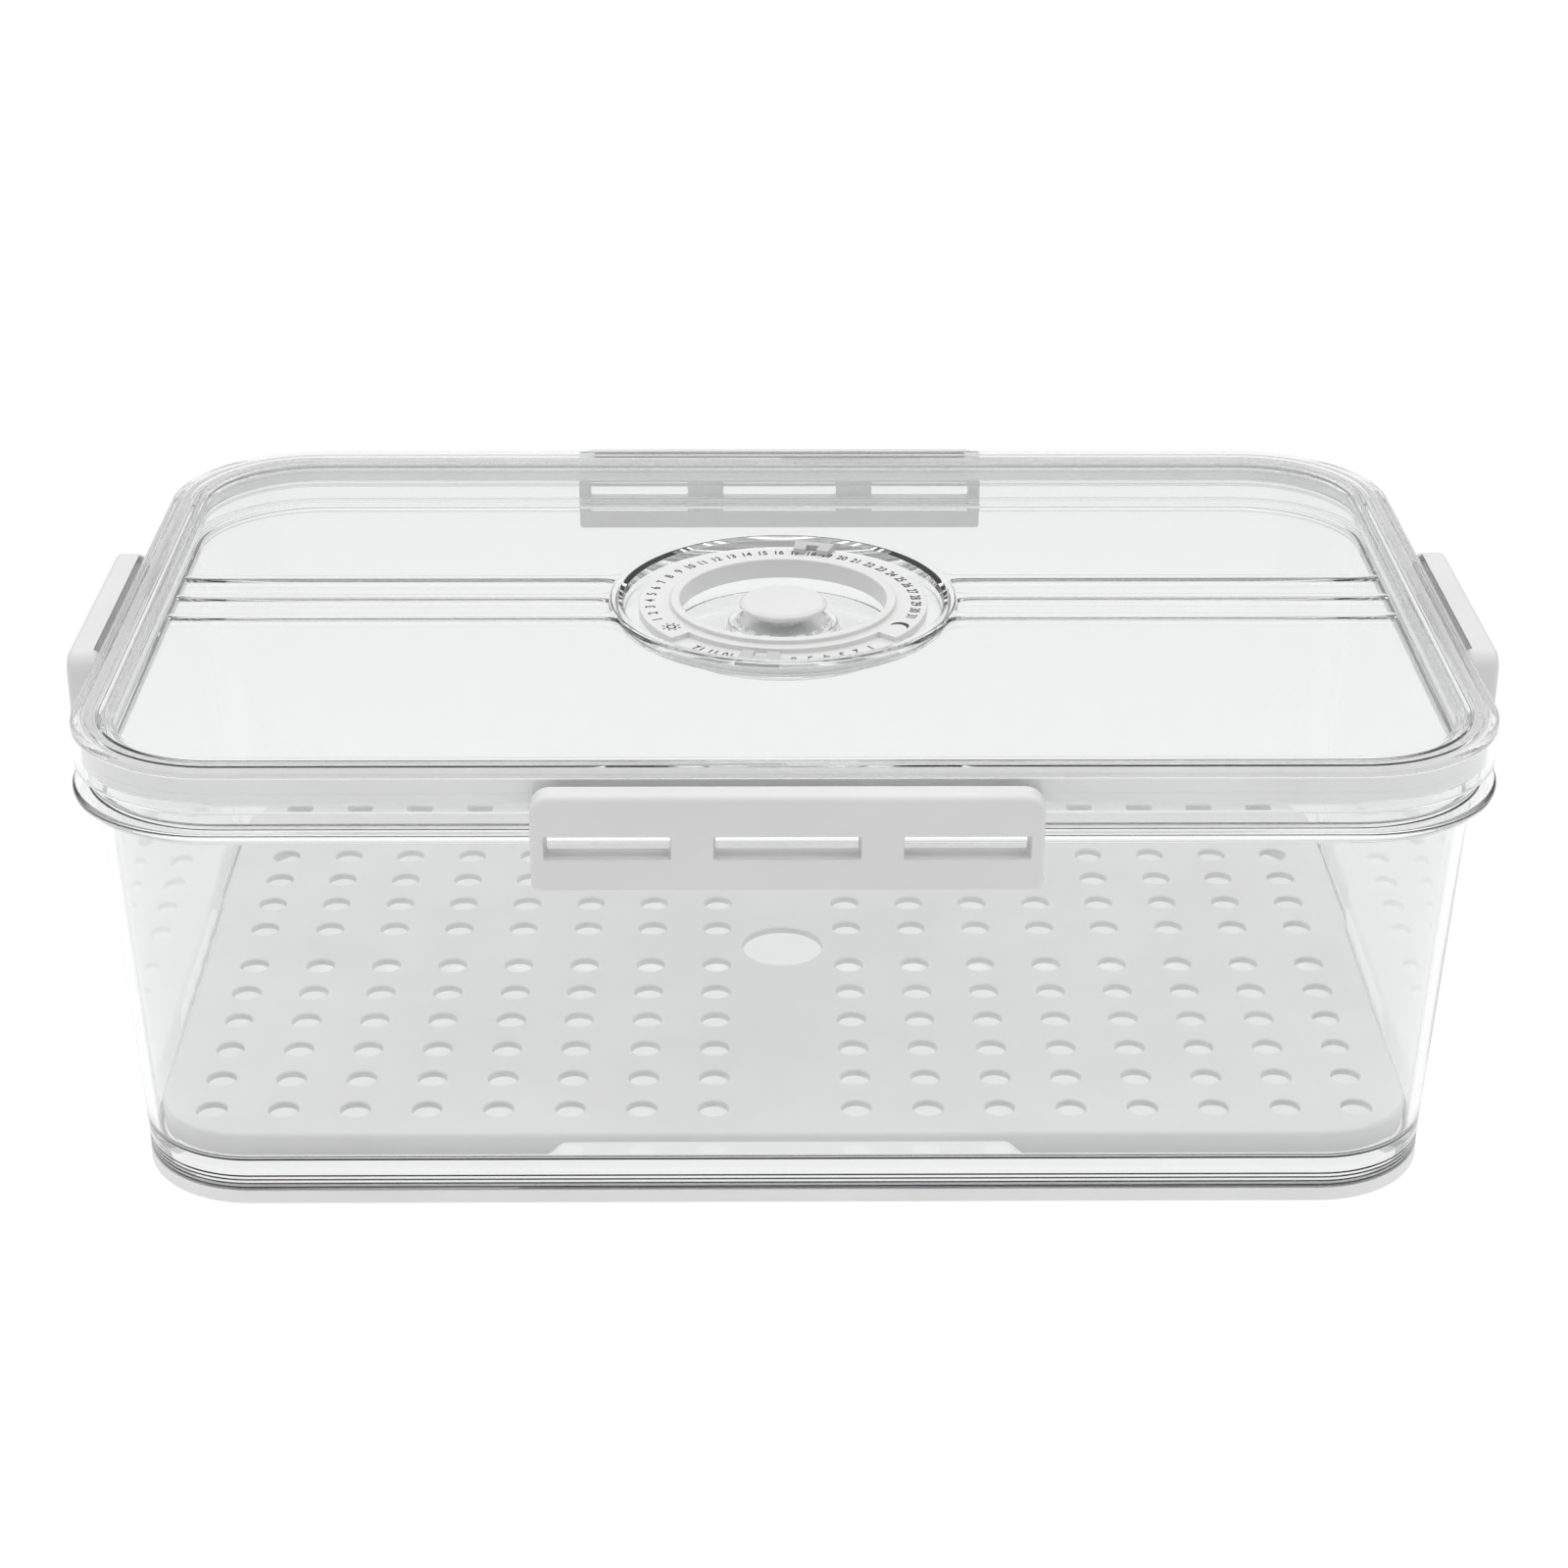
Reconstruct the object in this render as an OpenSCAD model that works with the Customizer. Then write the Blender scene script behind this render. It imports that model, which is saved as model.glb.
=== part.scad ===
// Clear kitchen storage bin for potatoes: a flared bin on a non-slip foot band, a lift-out
// drain tray, and a clear lid with a gasket, four hinged latches, a date dial with two
// sliders, and a press-to-vent button in the middle.
// Millimetres, +Z up, origin on the ground under the centre. The front faces -Y.
// Every outline is one core rectangle grown by a distance called a reach.

/* [Outline] */
// Straight run of the long sides, between the corner centres
core_l = 252; // [200:1:320]
// Straight run of the short sides, between the corner centres
core_w = 137.4; // [110:1:200]
// Reach of the bin at its foot, which is its corner radius there
foot_reach = 27.3; // [24:0.1:32]

/* [Bin] */
// Height from the ground to the underside of the flange
bin_h = 99; // [70:1:150]
// How far the wall leans out from foot to flange
wall_flare = 4.7; // [2:0.1:8]
// Wall thickness of the bin
wall_t = 2.3; // [1.8:0.1:3.2]
// Height of the floor's top face above the ground
floor_z = 11.3; // [10.5:0.1:16]
// Thickness of the floor
floor_t = 2.5; // [1.8:0.1:4]
// How far the flange stands out from the wall
flange_out = 5.2; // [4.8:0.1:7]
// Thickness of the flange
flange_t = 2.4; // [1.6:0.1:3]
// How far the lip stands out from the wall
lip_out = 1.5; // [1.2:0.1:2.4]
// Thickness of the lip
lip_t = 2.4; // [1.8:0.1:2.8]
// Height of the lip above the flange
lip_h = 6.7; // [5.5:0.1:10]
// Depth of the grooves that ring the foot
ridge_d = 0.5; // [0.2:0.05:0.8]
// Number of grooves that ring the foot
ridge_n = 4; // [1:1:4]

/* [Foot band] */
// Height of the soft band that the bin stands on
band_h = 3.7; // [2.5:0.1:4.2]
// Width of the band across its ring
band_w = 5; // [4:0.1:8]
// How far the band stands proud of the foot
band_proud = 0.2; // [0:0.1:1]

/* [Drain tray] */
// Gap between the tray's edge and the bin wall
tray_gap = 1.5; // [0.8:0.1:3]
// Height of the tray's top face above the bin floor
tray_h = 6.2; // [5:0.1:12]
// Thickness of the tray's plate and skirt
tray_t = 1.8; // [1.4:0.1:2.4]
// Diameter of each drain hole
drain_d = 7; // [4:0.1:9]
// Hole spacing along the length
pitch_x = 17; // [14:0.1:24]
// Hole spacing across the width
pitch_y = 14.2; // [12:0.1:20]
// Free band between the two middle columns
mid_gap_x = 34; // [30:0.5:44]
// Free band between the two middle rows
mid_gap_y = 20.1; // [16:0.1:30]
// Least distance from a hole's centre to the tray's edge
drain_margin = 10; // [9:0.1:20]
// Diameter of the finger hole in the middle
finger_d = 20.6; // [16:0.1:24]
// Half width of the gap in the skirt at the front and back
gap_half_x = 54; // [30:1:70]
// Half width of the gap in the skirt at the left and right
gap_half_y = 30; // [15:1:40]

/* [Lid] */
// Gap between the bin's lip and the lid's skirt
lid_gap = 1.2; // [0.8:0.1:2]
// Thickness of the lid's skirt
skirt_t = 1.8; // [1.4:0.1:2.6]
// Thickness of the lid's rim over the gasket
rim_t = 2.1; // [1.8:0.1:2.8]
// Distance from the skirt's lower edge down to the flange
skirt_clear = 4.6; // [3.8:0.1:6]
// Thickness of the wall inside the gasket
plug_t = 1.8; // [1.4:0.1:2.2]
// How far the rim stands above the flat panel
panel_drop = 2; // [1.8:0.1:2.6]
// Thickness of the flat panel
panel_t = 2.2; // [1.8:0.1:3]
// Distance from the inner wall to the edge of the flat panel
panel_in = 1.6; // [1.6:0.1:4]
// Width of each long rib on the panel
rib_w = 2.8; // [2:0.1:4]
// Height of each long rib
rib_h = 0.9; // [0.4:0.1:1.2]
// Spacing of the ribs
rib_pitch = 12.5; // [9:0.1:14]
// Gap between a rib's end and the edge of the panel
rib_end_gap = 2.5; // [1.5:0.1:8]

/* [Gasket] */
// Height of the gasket
gasket_h = 6.2; // [5:0.1:8]
// Gap between the gasket and the walls of its channel
gasket_side = 0.2; // [0.1:0.05:0.3]
// Width of the channel outside the lip's inner face
gasket_in = 0.8; // [0.5:0.1:1]

/* [Date dial] */
// Width of the raised bead round the recess
bead_w = 4; // [3.5:0.1:6]
// Height of the bead above the panel
bead_h = 1.2; // [1:0.1:2]
// Gap between the sliders and the wall of the recess
recess_gap = 1; // [0.6:0.1:3]
// Depth of the recess below the panel
recess_d = 3; // [2.8:0.1:4]
// Thickness of the recess floor and wall
recess_t = 2; // [1.6:0.1:2.6]
// Outer radius of the dial ring
ring_r = 35.8; // [32:0.1:42]
// Thickness of the dial ring's plate
ring_t = 2.3; // [2.1:0.1:2.6]
// Width of the ring's plate, from the collar to the edge
ring_w = 7.8; // [7:0.1:9]
// Thickness of the collar
collar_t = 2.4; // [1.6:0.1:3]
// Height of the collar
collar_h = 5.2; // [4.6:0.1:5.8]
// How far the collar stands above the ring's plate
collar_up = 1.2; // [0.8:0.1:1.6]
// Depth of the month track below the plate's face
track_d = 1.3; // [1:0.1:1.4]
// Width of the raised edge between the collar and the month track
track_in = 2.5; // [2:0.1:3]
// Where the month track starts and ends, on each side of the front
track_half = 49; // [46:1:52]
// Width of each slider along the ring
slider_w = 9.8; // [8:0.1:10]
// Thickness of each slider's top plate
slider_t = 1.2; // [1:0.1:1.4]
// Width of the window in each slider
slider_win = 3.2; // [2.5:0.1:4]
// How far a slider reaches in over the ring
slider_in = 3.4; // [3:0.1:3.9]
// Thickness of a slider's outer leg
slider_leg = 2.2; // [1.6:0.1:2.3]
// Direction of day 1 on the dial, in degrees
day_first = 201.1; // [198:0.1:204]
// Degrees from one day to the next
day_step = 7.307; // [7.2:0.001:7.35]
// Day that the day slider shows
day_set = 18; // [1:1:31]
// Direction of month 1 on the dial, in degrees
month_first = -52; // [-53:0.1:-51]
// Degrees from one month to the next
month_step = 6.818; // [6.6:0.001:6.85]
// Month that the month slider shows
month_set = 8; // [1:1:12]

/* [Vent] */
// Depth of the clear cup below the recess floor
cup_h = 5.6; // [5:0.1:7]
// Thickness of the cup's wall
cup_t = 2.6; // [1.8:0.1:3]
// Thickness of the cup's floor and hub
cup_floor_t = 1.8; // [1.4:0.1:2.2]
// Radius of the hub at its foot
hub_r = 14.6; // [14:0.1:18]
// How far the hub leans in from foot to top
hub_lean = 1; // [0.4:0.1:1.4]
// Height of the hub above the cup's floor
hub_h = 3.1; // [2.6:0.1:3.4]
// Number of air slots in the hub
slot_n = 16; // [8:1:18]
// Length of each air slot
slot_l = 2.6; // [1.6:0.1:2.8]
// Width of each air slot
slot_w = 1.1; // [0.8:0.1:1.2]
// Radius of the button
button_r = 11.3; // [9:0.1:13]
// Thickness of the button
button_t = 2.2; // [1.6:0.1:3]
// Gap under the button, a little more than its travel
button_gap = 3.3; // [3.2:0.1:3.6]
// Diameter of the stem
stem_d = 5.6; // [4.4:0.1:7]
// Length of stem below the valve disc
stem_tail = 2.3; // [1.8:0.1:3.5]
// Thickness of the valve disc
seal_t = 1.3; // [1:0.1:1.6]
// Thickness of the clip on the stem
clip_t = 1; // [0.8:0.1:1.2]

/* [Latches] */
// Half length of the front and back latches
latch_half_long = 56; // [46:0.5:70]
// Half length of the left and right latches
latch_half_short = 35.5; // [33:0.5:60]
// Height of a latch
latch_h = 22.6; // [21:0.1:27]
// How far a latch stands out from the lid's skirt
latch_out = 8.5; // [8:0.1:9.5]
// Radius of a latch's top front edge
latch_round = 1.6; // [1:0.1:2.4]
// How far a latch's top lies below the lid's top
latch_low = 2.2; // [2:0.1:3]
// Radius of a latch's top corners
latch_corner = 4.5; // [3:0.1:4.8]
// Width of the ears at a latch's ends
ear_w = 4.5; // [4:0.1:6]
// Distance from the skirt to the hinge axis
hinge_out = 3.4; // [3.3:0.05:3.6]
// Radius of the hinge rail
rail_r = 1.7; // [1.6:0.05:1.75]
// Thickness of the web between the rail and the skirt
web_t = 1.4; // [1.2:0.1:1.5]
// Diameter of the hinge pins
pin_d = 1.6; // [1.4:0.1:1.7]
// Height of the windows in the latches
win_h = 5.6; // [4:0.1:6]
// Width of each end window
win_w = 27.6; // [15:0.1:28]
// Half width of the middle window
win_mid_half = 16; // [8:0.1:18]
// Width of the bar beside the middle window, and of the side latches' middle bar
win_bar = 9.4; // [7:0.1:14]

/* [Fits] */
// Running clearance round the pins and the stem
run_gap = 0.08; // [0.05:0.01:0.1]
// Gap between pieces that move past each other
move_gap = 0.3; // [0.2:0.05:0.4]
// Gap under a piece that rests on another
rest_gap = 0.2; // [0.1:0.05:0.3]

/* [Hidden] */
$fn = 64;

// Bevel on the edges of the larger pieces, and round-off on the smaller ones
bevel = 0.6;
small = 0.3;

// Half sizes of the core rectangle
core_x = core_l / 2;
core_y = core_w / 2;

// Bin levels and reaches, from the ground up
foot_z = band_h;
wall_reach = foot_reach + wall_flare;
flange_reach = wall_reach + flange_out;
lip_reach = wall_reach + lip_out;
lip_in_reach = lip_reach - lip_t;
flange_z = bin_h + flange_t;
lip_z = flange_z + lip_h;
foot_in = foot_reach - wall_t - small;
fillet = tray_gap;
ridge_pitch = (floor_z - floor_t - foot_z) / (ridge_n + 0.8);
// Reach of the wall's outer face at a height
function wall_at(z) = foot_reach + wall_flare * (z - foot_z) / (bin_h - foot_z);

// Tray levels and half sizes
tray_foot = floor_z + rest_gap;
tray_z = floor_z + tray_h;
tray_reach = wall_at(tray_foot) - wall_t - tray_gap;
tray_x = core_x + tray_reach;
tray_y = core_y + tray_reach;
cols = floor((tray_x - drain_margin - mid_gap_x / 2) / pitch_x) + 1;
rows = floor((tray_y - drain_margin - mid_gap_y / 2) / pitch_y) + 1;

// Lid levels and reaches
gasket_z = lip_z + rest_gap;
rim_under = gasket_z + gasket_h;
lid_z = rim_under + rim_t;
panel_z = lid_z - panel_drop;
skirt_in = lip_reach + lid_gap;
skirt_reach = skirt_in + skirt_t;
skirt_z = flange_z + skirt_clear;
plug_out = lip_in_reach - gasket_in - gasket_side;
plug_in = plug_out - plug_t;
plug_z = lip_z - 1;
panel_reach = plug_in - panel_in;
rim_round = 1.2;
groove_w = 0.9;
groove_d = 0.6;
step_h = panel_drop / 2;

// Dial and vent radii, from the ring's edge
collar_r = ring_r - ring_w;
leg_in = ring_r + move_gap;
recess_r = leg_in + slider_leg + recess_gap;
boss_r = recess_r + recess_t;
bead_r = recess_r + bead_w;

// Dial and vent levels
recess_z = panel_z - recess_d;
recess_under = recess_z - recess_t;
collar_in = collar_r - collar_t;
ring_z = recess_z + 0.1;
ring_top = ring_z + ring_t;
collar_top = ring_top + collar_up;
hole_r = collar_r + move_gap;
leg_z = recess_z + rest_gap;
cup_floor_z = recess_under - cup_h + cup_floor_t;
hub_top = cup_floor_z + hub_h;
hub_under = hub_top - 1.3;
seal_top = hub_under - rest_gap;
seal_z = seal_top - seal_t;
seal_r = hub_r - hub_lean - cup_floor_t;
slot_r = seal_r - slot_w / 2 - 0.1;
button_z = hub_top + button_gap;
stem_r = stem_d / 2;
stem_z = seal_z - stem_tail;
clip_groove = 0.7;

// Latch and hinge places. The distance out is measured from the skirt's face. The slot
// for the rail's web runs between two angles about the hinge axis, from straight out.
latch_top = lid_z - latch_low;
hinge_r = hinge_out - 2 * rest_gap;
hinge_z = latch_top - hinge_r;
latch_in = flange_reach + move_gap - skirt_reach;
web_off = web_t / 2 * cos(45);
slot_from = 110;
slot_to = 255;
win_z = bin_h + rest_gap;
pin_r = pin_d / 2;
pin_inset = latch_corner - sqrt(pow(latch_corner, 2) - pow(latch_corner - hinge_r + pin_r, 2)) + 0.2;
front_y = core_y + skirt_reach;
side_x = core_x + skirt_reach;

// Flat outline of the core rectangle grown by a reach
module outline(reach) {
    square([2 * core_x, 2 * (core_y + reach)], center = true);
    square([2 * (core_x + reach), 2 * core_y], center = true);
    for (sx = [-1, 1], sy = [-1, 1])
        translate([sx * core_x, sy * core_y]) circle(reach);
}

// Slab of that outline between two heights
module slab(reach, z0, z1) {
    translate([0, 0, z0]) linear_extrude(z1 - z0) outline(reach);
}

// Sweeps a profile of reach and height once round the core rectangle
module around() {
    for (a = [0, 180]) rotate(a) {
        translate([-core_x, core_y, 0])
            rotate([90, 0, 90]) linear_extrude(2 * core_x) children();
        rotate(90) translate([-core_y, core_x, 0])
            rotate([90, 0, 90]) linear_extrude(2 * core_y) children();
        translate([core_x, core_y, 0]) rotate_extrude(angle = 90) children();
        translate([-core_x, core_y, 0]) rotate(90) rotate_extrude(angle = 90) children();
    }
}

// Puts a side's pieces in place: a turn, and how far the skirt's face lies from the centre
module on_side(turn, distance) {
    rotate(turn) translate([0, distance, 0]) children();
}

// A bar of round section along X at the hinge axis
module hinge_bar(r, half) {
    translate([-half, hinge_out, hinge_z]) rotate([0, 90, 0]) cylinder(r = r, h = 2 * half);
}

// Ring sector between two radii and two angles
module sector(r0, r1, a0, a1, z0, z1) {
    translate([0, 0, z0]) rotate(a0) rotate_extrude(angle = a1 - a0)
        translate([r0, 0]) square([r1 - r0, z1 - z0]);
}

module bin_profile() {
    wall_foot = wall_at(floor_z) - wall_t;
    difference() {
        polygon([
            [foot_in, foot_z], [foot_reach, foot_z], [wall_reach, bin_h],
            [flange_reach - bevel, bin_h], [flange_reach, bin_h + bevel],
            [flange_reach, flange_z - bevel], [flange_reach - bevel, flange_z],
            [lip_reach, flange_z], [lip_reach, lip_z - bevel], [lip_reach - bevel, lip_z],
            [lip_in_reach + bevel, lip_z], [lip_in_reach, lip_z - bevel],
            [lip_in_reach, flange_z], [wall_reach - wall_t, flange_z],
            [wall_reach - wall_t, bin_h], [wall_at(floor_z + fillet) - wall_t, floor_z + fillet],
            [wall_foot - fillet / 3, floor_z + fillet / 3], [wall_foot - fillet, floor_z],
            [foot_in - fillet, floor_z], [foot_in - fillet, floor_z - floor_t],
            [foot_in, floor_z - floor_t]
        ]);
        for (i = [1 : ridge_n]) {
            z = foot_z + i * ridge_pitch - ridge_pitch / 4;
            translate([wall_at(z) - ridge_d, z]) square([ridge_d + 1, ridge_pitch / 2]);
        }
    }
}

module bin_body() {
    color([0.93, 0.95, 0.96, 0.35]) {
        around() bin_profile();
        slab(foot_in - fillet / 2, floor_z - floor_t, floor_z);
    }
}

module base_band() {
    outer = foot_reach + band_proud;
    color("whitesmoke") around() polygon([
        [outer - band_w, 0], [outer - bevel, 0], [outer, bevel], [outer, band_h - small],
        [outer - small, band_h], [outer - band_w, band_h]
    ]);
}

// Gap cut from the skirt of the tray, with sloping ends
module skirt_gap(half, distance) {
    depth = tray_z - tray_t - 0.8;
    translate([0, distance, 0]) rotate([90, 0, 0]) linear_extrude(3 * tray_t, center = true)
        polygon([
            [-half - 1, tray_foot - 1], [-half + 3, depth], [half - 3, depth],
            [half + 1, tray_foot - 1]
        ]);
}

module drain_tray() {
    color("white") difference() {
        union() {
            slab(tray_reach - tray_t / 2, tray_z - tray_t, tray_z);
            around() polygon([
                [tray_reach - tray_t, tray_foot], [tray_reach - small, tray_foot],
                [tray_reach, tray_z - tray_t], [tray_reach, tray_z - bevel],
                [tray_reach - bevel, tray_z], [tray_reach - tray_t, tray_z]
            ]);
        }
        for (a = [0, 180]) rotate(a) {
            skirt_gap(gap_half_x, tray_y);
            rotate(90) skirt_gap(gap_half_y, tray_x);
        }
        translate([0, 0, tray_z - tray_t - 1]) {
            cylinder(d = finger_d, h = tray_t + 2);
            for (sx = [-1, 1], sy = [-1, 1], i = [0 : cols - 1], j = [0 : rows - 1])
                translate([sx * (mid_gap_x / 2 + i * pitch_x), sy * (mid_gap_y / 2 + j * pitch_y), 0])
                    cylinder(d = drain_d, h = tray_t + 2, $fn = 24);
        }
    }
}

module lid_profile() {
    difference() {
        union() {
            polygon([
                [skirt_in, skirt_z], [skirt_reach, skirt_z], [skirt_reach, lid_z - rim_round],
                [skirt_reach - rim_round, lid_z], [plug_in + bevel, lid_z],
                [plug_in, lid_z - step_h], [plug_in - panel_in / 2, lid_z - step_h],
                [panel_reach + bevel, panel_z], [panel_reach - 1, panel_z],
                [panel_reach - 1, panel_z - panel_t], [plug_in, panel_z - panel_t],
                [plug_in, plug_z], [plug_out, plug_z], [plug_out, rim_under],
                [skirt_in, rim_under]
            ]);
            translate([skirt_reach - rim_round, lid_z - rim_round]) circle(rim_round);
        }
        for (r = [plug_out + 0.4, skirt_in - 1.6])
            translate([r, lid_z - groove_d]) square([groove_w, groove_d + 1]);
    }
}

// The bead round the dial, the recess and its floor, in radius and height
module boss_profile() {
    polygon([
        [hole_r, recess_under], [boss_r, recess_under],
        [boss_r + small, panel_z - panel_t], [bead_r, panel_z],
        [bead_r - small, panel_z + bead_h - bevel], [bead_r - 1, panel_z + bead_h],
        [recess_r + 1.5, panel_z + bead_h], [recess_r + 0.8, panel_z + 0.5],
        [recess_r, recess_z], [hole_r, recess_z]
    ]);
}

// One long rib from the bead to near the edge of the panel
module rib(y) {
    x0 = sqrt(pow(bead_r - 1, 2) - pow(y, 2));
    x1 = core_x + panel_reach - rib_end_gap - rib_w / 2;
    translate([0, y, panel_z - 0.5]) linear_extrude(rib_h + 0.5) {
        translate([x0, -rib_w / 2]) square([x1 - x0, rib_w]);
        translate([x1, 0]) circle(rib_w / 2);
    }
}

// The web of a rail, as distance out from the skirt and height: it leans 45 degrees
module rail_web() {
    inner = -skirt_t / 2;
    polygon([
        [hinge_out - web_off, hinge_z + web_off],
        [inner, hinge_z + 2 * web_off - hinge_out + inner],
        [inner, hinge_z - 2 * web_off - hinge_out + inner],
        [hinge_out + web_off, hinge_z - web_off]
    ]);
}

// The rail on the skirt that a latch turns on, with its bore
module hinge_rail(half) {
    rail_half = half - ear_w - move_gap;
    difference() {
        union() {
            hinge_bar(rail_r, rail_half);
            translate([-rail_half, 0, 0])
                rotate([90, 0, 90]) linear_extrude(2 * rail_half) rail_web();
        }
        hinge_bar(pin_r + run_gap, rail_half + 1);
    }
}

module lid_shell() {
    color([0.95, 0.97, 0.98, 0.35]) {
        difference() {
            union() {
                around() lid_profile();
                slab(panel_reach - bevel, panel_z - panel_t, panel_z);
                for (side = [0, 180], k = [-1 : 1]) rotate(side) rib(k * rib_pitch);
            }
            cylinder(r = boss_r - bevel, h = lid_z + 1);
        }
        rotate_extrude($fn = 96) boss_profile();
        for (a = [0, 180]) on_side(a, front_y) hinge_rail(latch_half_long);
        for (a = [90, -90]) on_side(a, side_x) hinge_rail(latch_half_short);
    }
}

module lid_gasket() {
    inner = plug_out + gasket_side;
    outer = skirt_in - gasket_side;
    color("white") around() polygon([
        [inner, gasket_z + bevel], [inner + bevel, gasket_z], [outer - bevel, gasket_z],
        [outer, gasket_z + bevel], [outer, rim_under], [inner, rim_under]
    ]);
}

module vent_cup() {
    cup_out = hole_r + cup_t;
    under = recess_under - cup_h;
    top_r = hub_r - hub_lean;
    color([0.93, 0.96, 0.97, 0.35]) difference() {
        rotate_extrude($fn = 96) polygon([
            [stem_r + run_gap, hub_under], [top_r - cup_floor_t + 0.5, hub_under],
            [hub_r - cup_floor_t, cup_floor_z], [hub_r - cup_floor_t, under],
            [cup_out - 0.8, under], [cup_out, under + 0.8], [cup_out, recess_under],
            [hole_r, recess_under], [hole_r, cup_floor_z + bevel],
            [hole_r - bevel, cup_floor_z], [hub_r, cup_floor_z], [top_r, hub_top - bevel],
            [top_r - bevel, hub_top], [stem_r + run_gap, hub_top]
        ]);
        for (i = [0 : slot_n - 1]) rotate(i * 360 / slot_n)
            translate([slot_r - slot_w / 2, -slot_l / 2, hub_under - 1])
                cube([slot_w, slot_l, hub_top - hub_under + 2]);
    }
}

module dial_ring() {
    collar_z = collar_top - collar_h;
    color("white") difference() {
        rotate_extrude($fn = 96) polygon([
            [collar_in, collar_z], [collar_r, collar_z], [collar_r, ring_z],
            [ring_r, ring_z], [ring_r, ring_top - small], [ring_r - small, ring_top],
            [collar_r + small, ring_top], [collar_r - small, collar_top - small],
            [collar_r - bevel, collar_top], [collar_in + small, collar_top],
            [collar_in, collar_top - small]
        ]);
        sector(collar_r + track_in, ring_r + 1, -90 - track_half, -90 + track_half,
            ring_top - track_d, ring_top + 1);
    }
}

// A slider on the ring's edge: a plate with a window over the ring and a leg outside it
module slider(at, face_z) {
    plate_z = face_z + rest_gap;
    plate_in = ring_r - slider_in;
    plate_out = leg_in + slider_leg;
    half = slider_w / 2 / ring_r * 180 / PI;
    window = slider_win / 2 / ring_r * 180 / PI;
    plate_top = plate_z + slider_t;
    color("white") rotate(at) difference() {
        rotate(-half) rotate_extrude(angle = 2 * half) polygon([
            [plate_in, plate_z], [leg_in, plate_z], [leg_in, leg_z], [plate_out, leg_z],
            [plate_out, plate_top - small], [plate_out - small, plate_top], [plate_in, plate_top]
        ]);
        sector(plate_in - 1, ring_r - small, -window, window, plate_z - 1, plate_top + 1);
    }
}

module day_slider() {
    slider(day_first - (day_set - 1) * day_step, ring_top);
}

module month_slider() {
    slider(month_first - (month_set - 1) * month_step, ring_top - track_d);
}

module vent_button() {
    top = button_z + button_t;
    color("white") rotate_extrude($fn = 96) polygon([
        [0, button_z], [button_r - bevel, button_z], [button_r, button_z + bevel],
        [button_r, top - 1], [button_r - 0.25, top - 0.55], [button_r - 0.9, top - 0.2],
        [button_r / 2, top], [0, top]
    ]);
}

module vent_stem() {
    color("white") difference() {
        translate([0, 0, stem_z]) cylinder(r = stem_r, h = button_z - stem_z);
        translate([0, 0, seal_z - clip_t]) difference() {
            cylinder(r = stem_r + 1, h = clip_t);
            translate([0, 0, -1]) cylinder(r = stem_r - clip_groove, h = clip_t + 2);
        }
    }
}

module vent_seal() {
    color("whitesmoke") rotate_extrude($fn = 96) polygon([
        [stem_r, seal_z], [stem_r + 3, seal_z], [seal_r - small, seal_top - bevel],
        [seal_r, seal_top - small], [seal_r - small, seal_top], [stem_r, seal_top]
    ]);
}

module stem_clip() {
    color("gainsboro") translate([0, 0, seal_z - clip_t]) difference() {
        cylinder(r = stem_r + 1.4, h = clip_t);
        translate([0, 0, -1]) cylinder(r = stem_r - clip_groove, h = clip_t + 2);
        translate([0, -stem_r * 0.45, -1]) cube([2 * stem_r, stem_r * 0.9, clip_t + 2]);
    }
}

// The section of a latch, as distance out from the skirt and height
module latch_section() {
    low = latch_top - latch_h;
    polygon([
        [latch_in, low + bevel], [latch_in + bevel, low], [latch_out - 1, low],
        [latch_out, low + 1], [latch_out, latch_top - latch_round],
        [latch_out - latch_round, latch_top], [hinge_out, latch_top],
        [hinge_out, hinge_z], [latch_in, hinge_z]
    ]);
    translate([hinge_out, hinge_z]) circle(hinge_r);
    translate([latch_out - latch_round, latch_top - latch_round]) circle(latch_round);
}

// The room for the rail in a latch, and the slot that its web moves in
module latch_pocket() {
    translate([hinge_out, hinge_z]) {
        circle(rail_r + move_gap);
        polygon([
            [0, 0],
            for (i = [0 : 4]) let (a = slot_from + (slot_to - slot_from) * i / 4)
                latch_h / 2 * [cos(a), sin(a)]
        ]);
    }
}

// The face of a latch, with round top corners
module latch_face(half) {
    low = latch_top - latch_h;
    translate([-half, low]) square([2 * half, latch_h - latch_corner]);
    translate([-half + latch_corner, low]) square([2 * (half - latch_corner), latch_h]);
    for (s = [-1, 1]) translate([s * (half - latch_corner), latch_top - latch_corner])
        circle(latch_corner);
}

// One window through a latch, between two places along it
module latch_window(x0, x1) {
    translate([x0, -1, win_z]) cube([x1 - x0, latch_out + 2, win_h]);
}

// A latch seen from inside the bin, along X with its face towards +Y
module latch(half, middle_window) {
    pocket_half = half - ear_w;
    first = middle_window ? win_mid_half + win_bar : win_bar / 2;
    last = min(first + win_w, half - 3);
    color("white") difference() {
        intersection() {
            translate([-half, 0, 0]) rotate([90, 0, 90]) linear_extrude(2 * half) latch_section();
            translate([0, latch_out + 1, 0]) rotate([90, 0, 0])
                linear_extrude(latch_out + 2) latch_face(half);
        }
        translate([-pocket_half, 0, 0])
            rotate([90, 0, 90]) linear_extrude(2 * pocket_half) latch_pocket();
        hinge_bar(pin_r, half - pin_inset);
        for (s = [-1, 1]) latch_window(s > 0 ? first : -last, s > 0 ? last : -first);
        if (middle_window) latch_window(-win_mid_half, win_mid_half);
    }
}

module hinge_pin(half) {
    color("white") hinge_bar(pin_r, half - pin_inset);
}

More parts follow.
